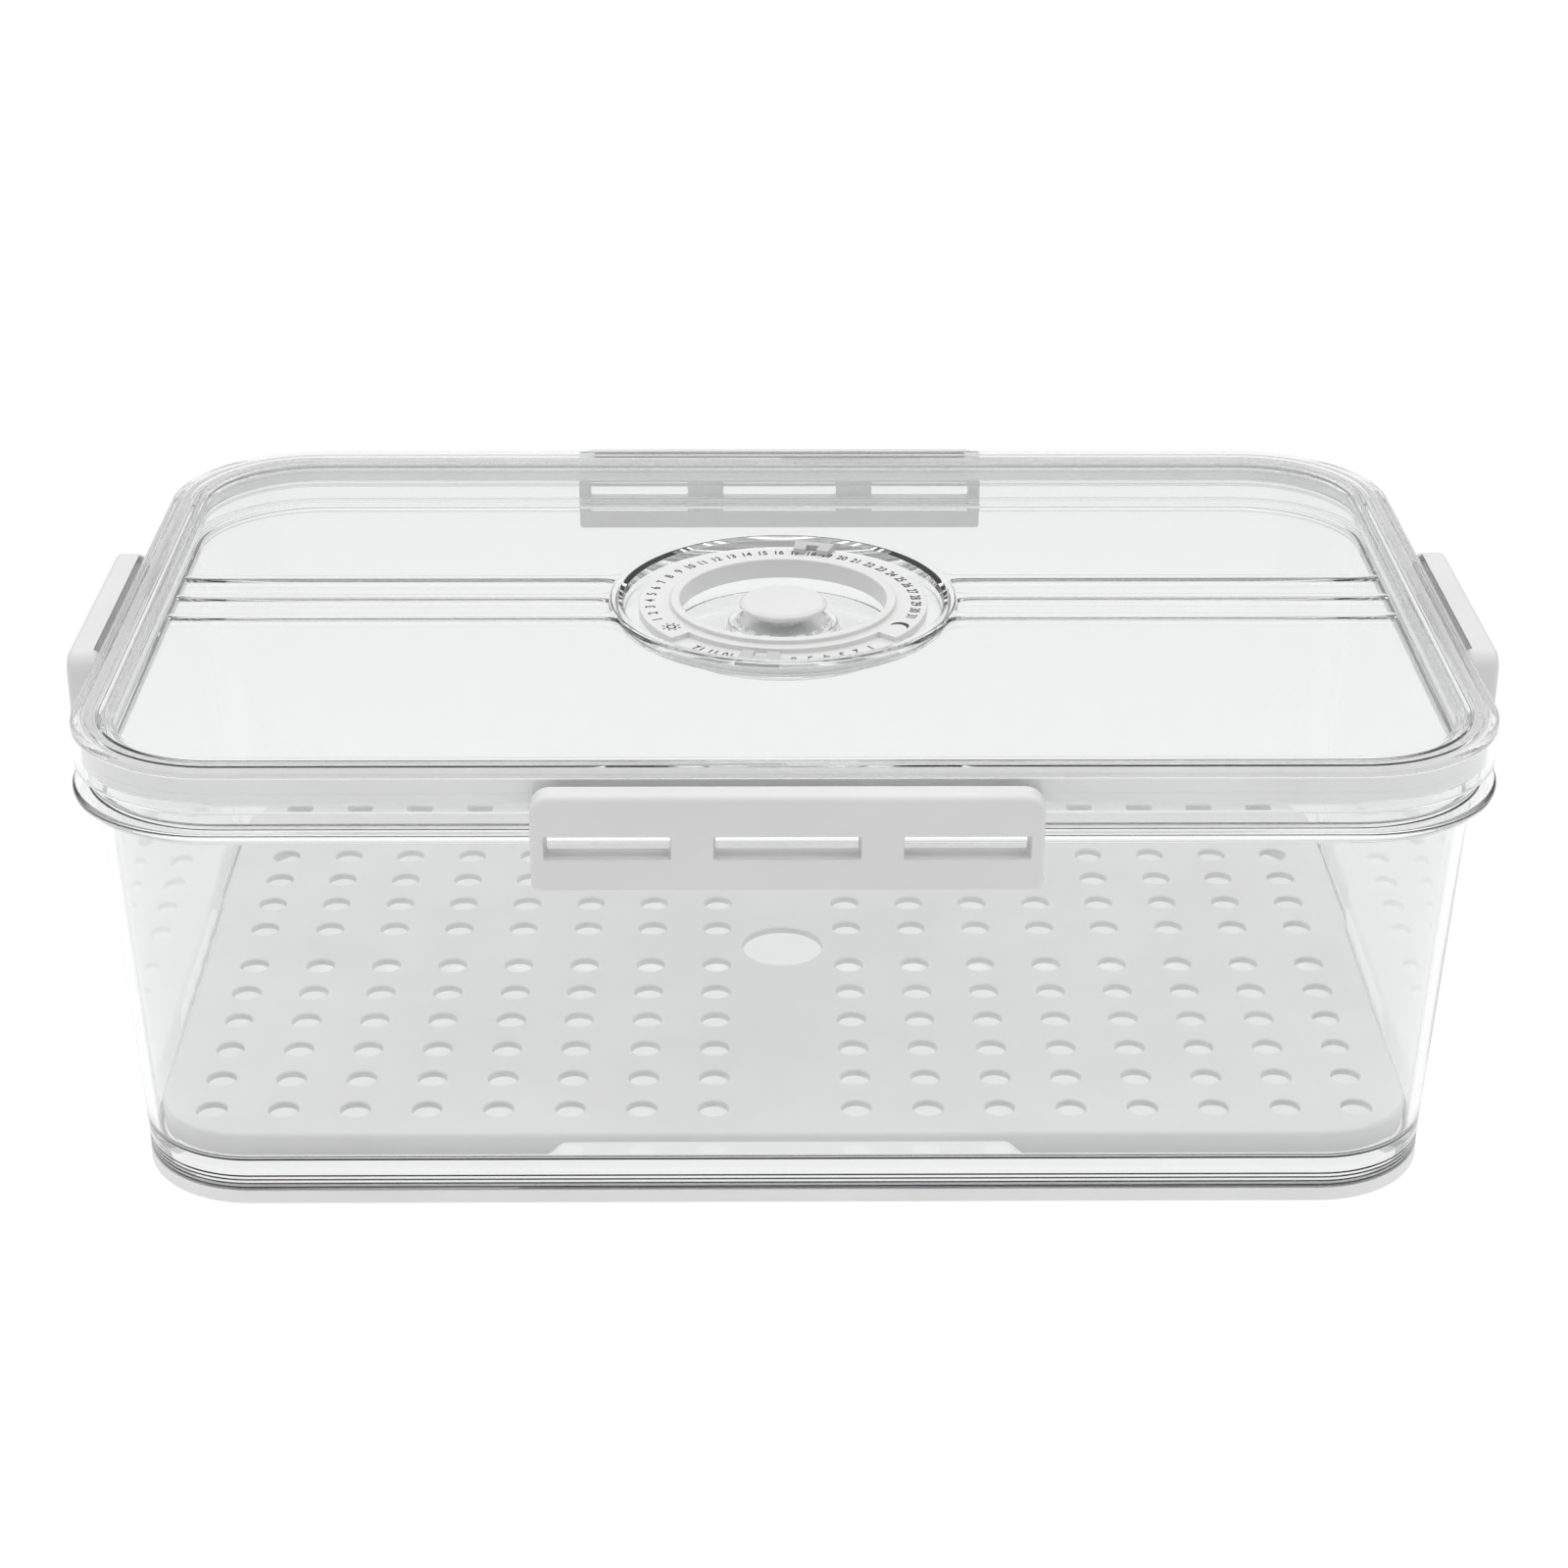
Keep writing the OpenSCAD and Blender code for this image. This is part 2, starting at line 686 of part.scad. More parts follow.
module latch_front() { on_side(180, front_y) latch(latch_half_long, true); }
module latch_back() { on_side(0, front_y) latch(latch_half_long, true); }
module latch_left() { on_side(90, side_x) latch(latch_half_short, false); }
module latch_right() { on_side(-90, side_x) latch(latch_half_short, false); }
module hinge_pin_front() { on_side(180, front_y) hinge_pin(latch_half_long); }
module hinge_pin_back() { on_side(0, front_y) hinge_pin(latch_half_long); }
module hinge_pin_left() { on_side(90, side_x) hinge_pin(latch_half_short); }
module hinge_pin_right() { on_side(-90, side_x) hinge_pin(latch_half_short); }

bin_body();
base_band();
drain_tray();
lid_shell();
lid_gasket();
vent_cup();
dial_ring();
day_slider();
month_slider();
vent_button();
vent_stem();
vent_seal();
stem_clip();
latch_front();
latch_back();
latch_left();
latch_right();
hinge_pin_front();
hinge_pin_back();
hinge_pin_left();
hinge_pin_right();
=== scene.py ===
# Looks of a clear kitchen storage bin: a flared bin on a soft foot band, a drain tray, a lid
# with a gasket, four latches, a date dial with two sliders and a vent button.
# Sizes are in millimetres and become metres when a mesh is made. The front faces -Y.
import math

import bmesh
import bpy
from mathutils import Matrix, Vector
from mathutils.geometry import delaunay_2d_cdt


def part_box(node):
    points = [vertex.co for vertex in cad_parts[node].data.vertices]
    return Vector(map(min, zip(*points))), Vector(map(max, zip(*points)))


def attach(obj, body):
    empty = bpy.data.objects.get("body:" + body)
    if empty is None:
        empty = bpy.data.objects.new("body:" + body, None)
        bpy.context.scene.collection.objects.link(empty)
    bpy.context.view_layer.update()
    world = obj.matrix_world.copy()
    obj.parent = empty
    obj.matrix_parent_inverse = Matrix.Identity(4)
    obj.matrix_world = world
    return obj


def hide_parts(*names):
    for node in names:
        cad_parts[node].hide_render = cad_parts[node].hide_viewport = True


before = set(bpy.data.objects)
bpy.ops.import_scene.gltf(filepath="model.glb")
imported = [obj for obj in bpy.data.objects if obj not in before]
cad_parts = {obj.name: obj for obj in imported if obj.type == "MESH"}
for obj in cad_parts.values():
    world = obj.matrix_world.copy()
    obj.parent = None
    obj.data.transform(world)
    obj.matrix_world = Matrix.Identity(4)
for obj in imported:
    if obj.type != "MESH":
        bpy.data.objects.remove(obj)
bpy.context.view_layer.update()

MM = 0.001
TURN = 2 * math.pi
CORNER_STEPS = 20
ROUND_STEPS = 5

# Camera, worked out from the photograph
CAMERA_AT = (-7.1, -725.2, 407.8)
CAMERA_LENS = 72.3
CAMERA_YAW = 0.59
CAMERA_PITCH = 25.38
CAMERA_ROLL = 0.16


def box_mm(node):
    """Lowest and highest corner of a CAD node, in millimetres."""
    low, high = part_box(node)
    return low / MM, high / MM


# Sizes shared by the pieces. A reach is a distance from the core rectangle.
FOOT_REACH, WALL_FLARE, WALL_T = 27.3, 4.7, 2.3
FLANGE_OUT, FLANGE_T, LIP_OUT, LIP_T, LIP_H = 5.2, 2.4, 1.5, 2.4, 6.7
FLOOR_T, TRAY_T = 2.5, 1.8
SKIRT_T, SKIRT_LIFT, RIM_T = 1.8, 4.6, 2.1
PLUG_T, PLUG_GAP, PLUG_LIFT = 1.8, 1.0, 1.0
PANEL_DROP, PANEL_T, PANEL_IN = 2.0, 2.2, 1.6
HINGE_OUT, HINGE_WALL, RAIL_R, WEB_T, LATCH_CORNER, EAR_W = 3.4, 0.4, 1.7, 1.4, 4.5, 4.5
MOVE_GAP, REST_GAP = 0.3, 0.2

bin_low, bin_high = box_mm("bin_body")
band_high = box_mm("base_band")[1]
tray_low, tray_high = box_mm("drain_tray")
gasket_low, gasket_high = box_mm("lid_gasket")
cup_low, cup_high = box_mm("vent_cup")
ring_low, ring_high = box_mm("dial_ring")
button_low, button_high = box_mm("vent_button")

WALL_REACH = FOOT_REACH + WALL_FLARE
FLANGE_REACH = WALL_REACH + FLANGE_OUT
CORE_X = bin_high.x - FLANGE_REACH
CORE_Y = bin_high.y - FLANGE_REACH
LIP_REACH = WALL_REACH + LIP_OUT
LIP_Z = bin_high.z
FLANGE_Z = LIP_Z - LIP_H
BIN_H = FLANGE_Z - FLANGE_T
FOOT_Z = bin_low.z
FLOOR_Z = tray_low.z - REST_GAP
SKIRT_REACH = gasket_high.x - CORE_X + REST_GAP + SKIRT_T
PLUG_OUT = LIP_REACH - LIP_T - PLUG_GAP
LID_Z = gasket_high.z + RIM_T
PANEL_Z = LID_Z - PANEL_DROP
SKIRT_Z = FLANGE_Z + SKIRT_LIFT
PANEL_REACH = PLUG_OUT - PLUG_T - PANEL_IN


# Mesh building

def fillet(corners, steps=ROUND_STEPS):
    """A line through corners given as (a, b, radius), with each one rounded by its radius."""
    out = []
    count = len(corners)
    for i, (a, b, radius) in enumerate(corners):
        here = Vector((a, b))
        before = Vector(corners[i - 1][:2]) - here
        after = Vector(corners[(i + 1) % count][:2]) - here
        if radius <= 0 or before.length < 1e-6 or after.length < 1e-6:
            out.append((a, b))
            continue
        before_way, after_way = before.normalized(), after.normalized()
        half = math.acos(max(-1, min(1, before_way.dot(after_way)))) / 2
        if half > math.pi / 2 - 0.02:
            out.append((a, b))
            continue
        back = min(radius / math.tan(half), 0.49 * before.length, 0.49 * after.length)
        size = back * math.tan(half)
        centre = here + (before_way + after_way).normalized() * (size / math.sin(half))
        start = here + before_way * back - centre
        sweep = math.pi - 2 * half
        side = 1 if before_way.cross(after_way) < 0 else -1
        for k in range(steps + 1):
            turn = side * sweep * k / steps
            cos, sin = math.cos(turn), math.sin(turn)
            out.append((
                centre.x + start.x * cos - start.y * sin,
                centre.y + start.x * sin + start.y * cos,
            ))
    return out


def outline(reach, z, along=(), across=()):
    """The core rectangle grown by a reach, as a loop of points. Long sides get points at each
    x in along, short sides at each y in across. z is a height or a function of (x, y)."""
    flat = []
    corners = ((1, 1), (-1, 1), (-1, -1), (1, -1))
    for k, (sx, sy) in enumerate(corners):
        for i in range(CORNER_STEPS + 1):
            a = TURN / 4 * (k + i / CORNER_STEPS)
            flat.append((sx * CORE_X + reach * math.cos(a), sy * CORE_Y + reach * math.sin(a)))
        if k % 2 == 0:
            flat += [(x, sy * (CORE_Y + reach)) for x in sorted(along, reverse=sy > 0)]
        else:
            flat += [(sx * (CORE_X + reach), y) for y in sorted(across, reverse=sx < 0)]
    height = z if callable(z) else lambda x, y: z
    return [(x, y, height(x, y)) for x, y in flat]


def circle(radius, z, count, middle=(0, 0)):
    cx, cy = middle
    angles = [TURN * i / count for i in range(count)]
    return [(cx + radius * math.cos(a), cy + radius * math.sin(a), z) for a in angles]


def inside(point, ring):
    """Whether a flat point lies inside a closed ring of flat points."""
    x, y = point
    found = False
    for (x0, y0), (x1, y1) in zip(ring, ring[1:] + ring[:1]):
        if (y0 > y) != (y1 > y) and x < x0 + (x1 - x0) * (y - y0) / (y1 - y0):
            found = not found
    return found


class Shape:
    """Points in millimetres and faces, built up loop by loop."""

    def __init__(self):
        self.points = []
        self.faces = []

    def loop(self, points):
        first = len(self.points)
        self.points += [tuple(p) for p in points]
        return list(range(first, len(self.points)))

    def skin(self, loops, closed=False):
        pairs = zip(loops, loops[1:] + loops[:1]) if closed else zip(loops, loops[1:])
        for one, two in pairs:
            for i in range(len(one)):
                j = (i + 1) % len(one)
                self.faces.append((one[i], one[j], two[j], two[i]))

    def sweep(self, profile, closed=False, along=(), across=()):
        """Loops of the outline for each (reach, z) of a profile, with faces between them."""
        loops = [self.loop(outline(r, z, along, across)) for r, z in profile]
        self.skin(loops, closed)
        return loops

    def lathe(self, profile, count=96, closed=False, middle=(0, 0)):
        loops = [self.loop(circle(r, z, count, middle)) for r, z in profile]
        self.skin(loops, closed)
        return loops

    def fill(self, outer, holes=(), axes=(0, 1)):
        """Flat faces inside one loop and outside the others."""
        rings = [outer, *holes]
        index = [i for ring in rings for i in ring]
        flat = [Vector((self.points[i][axes[0]], self.points[i][axes[1]])) for i in index]
        edges, start = [], 0
        for ring in rings:
            edges += [(start + k, start + (k + 1) % len(ring)) for k in range(len(ring))]
            start += len(ring)
        found = delaunay_2d_cdt(flat, edges, [], 1, 1e-7)
        source = [index[o[0]] for o in found[3]]
        owner = {i: k for k, ring in enumerate(rings) for i in ring}
        drawn = []
        for ring in holes:
            begin = index.index(ring[0])
            drawn.append([tuple(flat[begin + k]) for k in range(len(ring))])
        for face in found[2]:
            corners = [source[v] for v in face]
            owners = {owner[i] for i in corners}
            if len(owners) == 1 and 0 not in owners:
                middle = sum((found[0][v] for v in face), Vector((0, 0))) / len(face)
                if inside(tuple(middle), drawn[owners.pop() - 1]):
                    continue
            self.faces.append(tuple(corners))

    def mesh(self, name):
        made = bpy.data.meshes.new(name)
        made.from_pydata([tuple(c * MM for c in p) for p in self.points], [], self.faces)
        work = bmesh.new()
        work.from_mesh(made)
        bmesh.ops.remove_doubles(work, verts=work.verts, dist=2e-7)
        bmesh.ops.dissolve_degenerate(work, edges=work.edges, dist=1e-8)
        bmesh.ops.recalc_face_normals(work, faces=work.faces)
        work.to_mesh(made)
        work.free()
        return made


def place(name, mesh, body, material, replaces=(), sharp=40):
    """Makes the object, shades it and puts it on its body."""
    piece = bpy.data.objects.new(name, mesh)
    bpy.context.scene.collection.objects.link(piece)
    mesh.materials.clear()
    mesh.materials.append(material)
    mesh.shade_smooth()
    mesh.set_sharp_from_angle(angle=math.radians(sharp))
    weighted = piece.modifiers.new("even_normals", "WEIGHTED_NORMAL")
    weighted.keep_sharp = True
    weighted.weight = 100
    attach(piece, body)
    if replaces:
        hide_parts(*replaces)
    return piece


def combined(mesh, others, operation):
    """One mesh cut by, or joined with, closed meshes."""
    base = bpy.data.objects.new("work", mesh)
    bpy.context.scene.collection.objects.link(base)
    tools = []
    for other in others:
        tool = bpy.data.objects.new("tool", other)
        bpy.context.scene.collection.objects.link(tool)
        tools.append(tool)
        change = base.modifiers.new("change", "BOOLEAN")
        change.operation = operation
        change.solver = "EXACT"
        change.object = tool
    view = bpy.context.evaluated_depsgraph_get()
    made = bpy.data.meshes.new_from_object(base.evaluated_get(view))
    for o in [base, *tools]:
        bpy.data.objects.remove(o)
    return made


def turned(mesh, turn, distance):
    """A mesh copied to a side: turned about Z and moved out by a distance."""
    made = mesh.copy()
    move = Matrix.Translation((0, distance * MM, 0))
    made.transform(Matrix.Rotation(math.radians(turn), 4, "Z") @ move)
    return made


# Materials

PLASTIC_IOR = 1.5
CLEAR_BUMP, WHITE_BUMP = 0.0001, 0.00006


def new_material(name):
    made = bpy.data.materials.new(name)
    made.use_nodes = True
    nodes = made.node_tree.nodes
    return made, nodes, made.node_tree.links, nodes["Principled BSDF"]


def add_bump(nodes, links, shader, scale, strength, distance):
    """Fine unevenness of a moulded surface, from noise in object space."""
    where = nodes.new("ShaderNodeTexCoord")
    noise = nodes.new("ShaderNodeTexNoise")
    noise.inputs["Scale"].default_value = scale
    noise.inputs["Detail"].default_value = 3
    bump = nodes.new("ShaderNodeBump")
    bump.inputs["Strength"].default_value = strength
    bump.inputs["Distance"].default_value = distance
    links.new(where.outputs["Object"], noise.inputs["Vector"])
    links.new(noise.outputs["Fac"], bump.inputs["Height"])
    links.new(bump.outputs["Normal"], shader.inputs["Normal"])
    return noise


def ramp_into(nodes, links, source, socket, low, high):
    """Feeds a socket with a value that varies between two ends, as the noise does."""
    noise_low, noise_high = 0.35, 0.65
    spread = nodes.new("ShaderNodeMapRange")
    spread.inputs["From Min"].default_value = noise_low
    spread.inputs["From Max"].default_value = noise_high
    spread.inputs["To Min"].default_value = low
    spread.inputs["To Max"].default_value = high
    links.new(source.outputs["Fac"], spread.inputs["Value"])
    links.new(spread.outputs["Result"], socket)


def clear_plastic(name, tone):
    """Clear plastic with a faint cool tint and waves of a few centimetres in its surface."""
    made, nodes, links, shader = new_material(name)
    shader.inputs["Base Color"].default_value = (tone, tone * 1.003, tone * 1.005, 1)
    shader.inputs["Transmission Weight"].default_value = 1
    shader.inputs["IOR"].default_value = PLASTIC_IOR
    noise = add_bump(nodes, links, shader, 30, 0.002, CLEAR_BUMP)
    ramp_into(nodes, links, noise, shader.inputs["Roughness"], 0.0, 0.006)
    return made


def white_plastic(name, tone, rough, grain, strength):
    """Opaque plastic with fine grain, slight light spread inside and cloudy tone."""
    made, nodes, links, shader = new_material(name)
    shader.inputs["IOR"].default_value = PLASTIC_IOR
    shader.inputs["Subsurface Weight"].default_value = 0.15
    shader.inputs["Subsurface Radius"].default_value = (0.0012, 0.0012, 0.0011)
    noise = add_bump(nodes, links, shader, grain, strength, WHITE_BUMP)
    ramp_into(nodes, links, noise, shader.inputs["Roughness"], rough - 0.05, rough + 0.05)
    cloud = nodes.new("ShaderNodeTexNoise")
    cloud.inputs["Scale"].default_value = 38
    cloud.inputs["Detail"].default_value = 2
    links.new(nodes["Texture Coordinate"].outputs["Object"], cloud.inputs["Vector"])
    tint = nodes.new("ShaderNodeValToRGB")
    tint.color_ramp.elements[0].position = 0.3
    tint.color_ramp.elements[1].position = 0.7
    tint.color_ramp.elements[0].color = (tone * 0.975, tone * 0.975, tone * 0.97, 1)
    tint.color_ramp.elements[1].color = (tone * 1.02, tone * 1.02, tone * 1.02, 1)
    links.new(cloud.outputs["Fac"], tint.inputs["Fac"])
    links.new(tint.outputs["Color"], shader.inputs["Base Color"])
    return made


CLEAR = clear_plastic("clear_plastic", 0.92)
# Nearly black clear plastic for the facets of the foot's grooves: painted shade that draws dark
# lines there.
GROOVE_PAINTED_SHADE = clear_plastic("groove_painted_shade", 0.06)
WHITE = white_plastic("white_plastic", 0.69, 0.4, 900, 0.25)
TRAY = white_plastic("tray_plastic", 0.72, 0.4, 900, 0.25)
DIAL = white_plastic("dial_plastic", 0.7, 0.33, 1200, 0.15)
# Dial plastic made darker for the two sliders: painted shade.
SLIDER_PAINTED_SHADE = white_plastic("slider_painted_shade_plastic", 0.5, 0.35, 1200, 0.15)
SILICONE = white_plastic("white_silicone", 0.88, 0.55, 700, 0.3)
BAND = white_plastic("foot_band", 0.78, 0.6, 600, 0.35)
INK = white_plastic("dial_ink", 0.015, 0.6, 1500, 0.2)


# Bin

def wall_at(z):
    """Reach of the wall's outer face at a height."""
    return FOOT_REACH + WALL_FLARE * (z - FOOT_Z) / (BIN_H - FOOT_Z)


def make_bin():
    """The tub. Its floor is thinner than the part's, because a thick slab traps the light and shows
    as a black line. The facets of the foot's grooves are painted darker, as in the photograph:
    painted shade, a nearly black clear material on them."""
    grooves, depth, slant, first = 4, 0.4, 0.24, 0.85
    thin_t, chamfer, floor_edge = 0.6, 1.1, 4
    floor_under = FLOOR_Z - FLOOR_T
    thin_under = FLOOR_Z - thin_t
    foot_in = FOOT_REACH - WALL_T - 0.3
    floor_from = foot_in - floor_edge
    pitch = (floor_under - FOOT_Z) / (grooves + 0.8)
    inner = WALL_REACH - WALL_T
    lip_in = LIP_REACH - LIP_T
    corners = [(foot_in, FOOT_Z, 0.4), (FOOT_REACH, FOOT_Z, 0.3)]
    for i in range(grooves):
        z = FOOT_Z + (i + first) * pitch
        corners += [
            (wall_at(z), z - slant, 0.1), (wall_at(z) - depth, z, 0.04),
            (wall_at(z), z + slant, 0.1),
        ]
    corners += [
        (WALL_REACH, BIN_H, 0.5), (FLANGE_REACH, BIN_H, 1.1), (FLANGE_REACH, FLANGE_Z, 1.1),
        (LIP_REACH, FLANGE_Z, 0.5), (LIP_REACH, LIP_Z, 0.8), (lip_in, LIP_Z, 0.8),
        (lip_in, FLANGE_Z + 0.1, 0.6), (inner, FLANGE_Z - 0.1, 0.6), (inner, BIN_H, 0.5),
        (wall_at(FLOOR_Z) - WALL_T, FLOOR_Z, 1.8), (floor_from, FLOOR_Z, 0),
        (floor_from, thin_under, 0), (foot_in - chamfer, thin_under, 0.2),
        (foot_in, floor_under, 0.5),
    ]
    line = fillet(corners)
    at = next(i for i, p in enumerate(line) if p == (floor_from, FLOOR_Z))
    line = line[at + 1:] + line[:at + 1]
    shape = Shape()
    loops = shape.sweep(line)
    shape.fill(loops[0])
    shape.fill(loops[-1])
    mesh = shape.mesh("bin_shell")
    piece = place("bin_shell", mesh, "bin", CLEAR, ["bin_body"])
    # The groove facets get the nearly black material: painted shade.
    mesh.materials.append(GROOVE_PAINTED_SHADE)
    # A face further inside the wall's surface than this belongs to a groove
    least_depth = 0.08
    for face in mesh.polygons:
        x, y, z = face.center / MM
        reach = math.hypot(max(abs(x) - CORE_X, 0), max(abs(y) - CORE_Y, 0))
        if z < floor_under and least_depth < wall_at(z) - reach < depth:
            face.material_index = 1
    return piece


def make_band():
    width, top = 5, band_high.z
    outer = band_high.x - CORE_X
    inner = outer - width
    corners = [(inner, 0, 0.4), (outer, 0, 0.7), (outer, top, 0.35), (inner, top, 0.3)]
    shape = Shape()
    shape.sweep(fillet(corners), closed=True)
    return place("foot_band", shape.mesh("foot_band"), "bin", BAND, ["base_band"])


# Drain tray

def make_tray():
    pitch_x, pitch_y, mid_x, mid_y, margin = 17, 14.2, 34, 20.1, 10
    drain_r, finger_r = 3.5, 10.3
    gap_x, gap_y, slope = 54, 30, 5
    edge, draft, flat_from = 3, 0.25, 6
    reach = tray_high.x - CORE_X
    foot, top = tray_low.z, tray_high.z
    under = top - TRAY_T
    lower_reach = reach - draft
    skirt_in = reach - TRAY_T
    cols = int((CORE_X + reach - margin - mid_x / 2) / pitch_x) + 1
    rows = int((CORE_Y + reach - margin - mid_y / 2) / pitch_y) + 1

    def lifted(x, y):
        """How far a gap lifts the skirt's lower edge there, from 0 to 1."""
        on_long = abs(y) > CORE_Y + reach - edge
        away = (gap_x - abs(x)) if on_long else (gap_y - abs(y))
        if not on_long and abs(x) < CORE_X + reach - edge:
            return 0
        share = max(0, min(1, (away + slope / 2) / slope))
        return share * share * (3 - 2 * share)

    steps = [slope * (k / 8 - 0.5) for k in range(9)]
    along = [s * (gap_x + d) for s in (-1, 1) for d in steps]
    across = [s * (gap_y + d) for s in (-1, 1) for d in steps]

    def skirt(low_z):
        raised = under - 0.8
        return lambda x, y: low_z + (raised - foot) * lifted(x, y)

    shape = Shape()
    rim = fillet([
        (reach - flat_from, top, 0), (reach, top, 1.1), (lower_reach, foot + 1, 0),
        (reach - flat_from, foot, 0),
    ])[1:-2]
    lower = [
        (lower_reach, foot + 0.4), (lower_reach - 0.15, foot + 0.1), (lower_reach - 0.45, foot),
        (skirt_in + 0.5, foot), (skirt_in + 0.15, foot + 0.1), (skirt_in, foot + 0.4),
    ]
    loops = [shape.loop(outline(reach - 2, top, along, across))]
    loops += [shape.loop(outline(r, z, along, across)) for r, z in rim]
    loops += [shape.loop(outline(r, skirt(z), along, across)) for r, z in lower]
    loops += [
        shape.loop(outline(skirt_in - 0.05, under - 0.4, along, across)),
        shape.loop(outline(skirt_in - 0.45, under, along, across)),
    ]
    shape.skin(loops)
    spots = [((0, 0), finger_r)]
    for sx in (-1, 1):
        for sy in (-1, 1):
            for i in range(cols):
                for j in range(rows):
                    at = (sx * (mid_x / 2 + i * pitch_x), sy * (mid_y / 2 + j * pitch_y))
                    spots.append((at, drain_r))
    tops, unders = [], []
    for at, r in spots:
        beside = r + 2
        edges = [(beside, top, 0), (r, top, 0.55), (r, under, 0.25), (beside, under, 0)]
        line = fillet(edges, 3)[1:-1]
        rings = shape.lathe(line, 64 if r > drain_r else 28, middle=at)
        tops.append(rings[0])
        unders.append(rings[-1])
    shape.fill(loops[0], tops)
    shape.fill(loops[-1], unders)
    return place(
        "tray", shape.mesh("tray"), "tray", TRAY, ["drain_tray"]
    )


# Lid

RIB_YS = (-12.5, 0, 12.5)
RIB_HALF, RIB_H, RIB_FLARE, RIB_STOP = 1.4, 0.9, 1.3, 2.5
BEAD_R, BEAD_H, RECESS_R, BOSS_R = 43.3, 1.2, 39.3, 41.3
HOLE_R, RECESS_DEPTH, RECESS_T = 28.3, 3, 2
RIB_END = CORE_X + PANEL_REACH - RIB_STOP
RECESS_Z = PANEL_Z - RECESS_DEPTH
RECESS_UNDER = RECESS_Z - RECESS_T


def rib_outline(inset, z):
    """The circle of the bead with six ribs that flare out of it, drawn in by an inset."""
    radius, half = BEAD_R - inset, RIB_HALF - inset
    flare, tip = RIB_FLARE, RIB_END - RIB_HALF
    ribs = []
    for y in RIB_YS:
        low, high = (math.asin((y + s * (half + flare)) / radius) for s in (-1, 1))
        ribs += [(low, high, y, 1), (math.pi - high, math.pi - low, y, -1)]
    ribs.sort()
    flat = []
    for (_, leave, y, side), following in zip(ribs, ribs[1:] + ribs[:1]):
        edge = []
        for away, grow in ((0.7, 0.62), (1.5, 0.3), (2.6, 0.08), (4, 0)):
            for s in (-1, 1):
                at = y + s * (half + flare * grow)
                on_bead = math.sqrt(radius ** 2 - at ** 2)
                edge.append((s, away, side * (on_bead + away), at))
        flat += [(x, v) for s, _, x, v in sorted(edge) if s == -side]
        for k in range(9):
            a = math.pi * (k / 8 - 0.5)
            flat.append((side * (tip + half * math.cos(a)), y + side * half * math.sin(a)))
        flat += [(x, v) for s, _, x, v in sorted(edge, reverse=True) if s == side]
        until = following[0] if following[0] > leave else following[0] + TURN
        count = 40 if until - leave > 1 else 6
        for k in range(count + 1):
            a = leave + (until - leave) * k / count
            flat.append((radius * math.cos(a), radius * math.sin(a)))
    return [(x, y, z) for x, y in flat]


def lid_profile():
    """From the panel's top edge over the rim, round the skirt and the plug, to its underside."""
    plug_in = PLUG_OUT - PLUG_T
    skirt_in = SKIRT_REACH - SKIRT_T
    rim_under = gasket_high.z
    plug_z = LIP_Z - PLUG_LIFT
    step = PANEL_DROP / 2
    groove_w, groove_d = 0.9, 0.6
    corners = [
        (PANEL_REACH, PANEL_Z, 0.3), (PANEL_REACH + 0.6, PANEL_Z + 0.3, 0.3),
        (plug_in - 0.8, LID_Z - step, 0.3), (plug_in, LID_Z - step, 0.25),
        (plug_in + 0.3, LID_Z, 0.4),
    ]
    for groove in (PLUG_OUT + 0.4, skirt_in - 1.6):
        corners += [
            (groove, LID_Z, 0.2), (groove + 0.15, LID_Z - groove_d, 0.2),
            (groove + groove_w - 0.15, LID_Z - groove_d, 0.2), (groove + groove_w, LID_Z, 0.2),
        ]
    corners += [
        (SKIRT_REACH, LID_Z, 1.2), (SKIRT_REACH, SKIRT_Z, 0.6), (skirt_in, SKIRT_Z, 0.6),
        (skirt_in, rim_under, 0.3), (PLUG_OUT, rim_under, 0.3), (PLUG_OUT, plug_z, 0.6),
        (plug_in, plug_z, 0.6), (plug_in, PANEL_Z - PANEL_T, 0.6),
    ]
    inside_panel = PANEL_REACH - 1
    corners += [(inside_panel, PANEL_Z - PANEL_T, 0), (inside_panel, PANEL_Z, 0)]
    line = fillet(corners)
    return line[-1:] + line[:-1]


def make_lid():
    shape = Shape()
    loops = shape.sweep(lid_profile())
    rib_top = PANEL_Z + RIB_H
    levels = [(0, PANEL_Z), (0, rib_top - 0.3), (0.09, rib_top - 0.09), (0.3, rib_top)]
    ribs = [shape.loop(rib_outline(d, z)) for d, z in levels]
    shape.skin(ribs)
    shape.fill(loops[0], [ribs[0]])
    bead_top = PANEL_Z + BEAD_H
    line = fillet([
        (BEAD_R - 0.5, rib_top, 0), (BEAD_R - 0.8, bead_top, 0.5), (RECESS_R + 1.5, bead_top, 0.5),
        (RECESS_R + 0.6, PANEL_Z + 0.3, 0.3), (RECESS_R, RECESS_Z, 0.5), (HOLE_R, RECESS_Z, 0.4),
        (HOLE_R, RECESS_UNDER, 0.2), (BOSS_R, RECESS_UNDER, 0.7),
        (BOSS_R + 0.3, PANEL_Z - PANEL_T, 0),
    ])
    rings = shape.lathe(line, 144)
    shape.fill(ribs[-1], [rings[0]])
    shape.fill(loops[-1], [rings[-1]])
    body = shape.mesh("lid_body")
    parts = []
    for half, turns, distance in LATCH_PLACES:
        rail = rail_mesh(half)
        parts += [turned(rail, turn, distance) for turn in turns]
    joined = combined(body, parts, "UNION")
    return place("lid_cover", joined, "lid", CLEAR, ["lid_shell"])


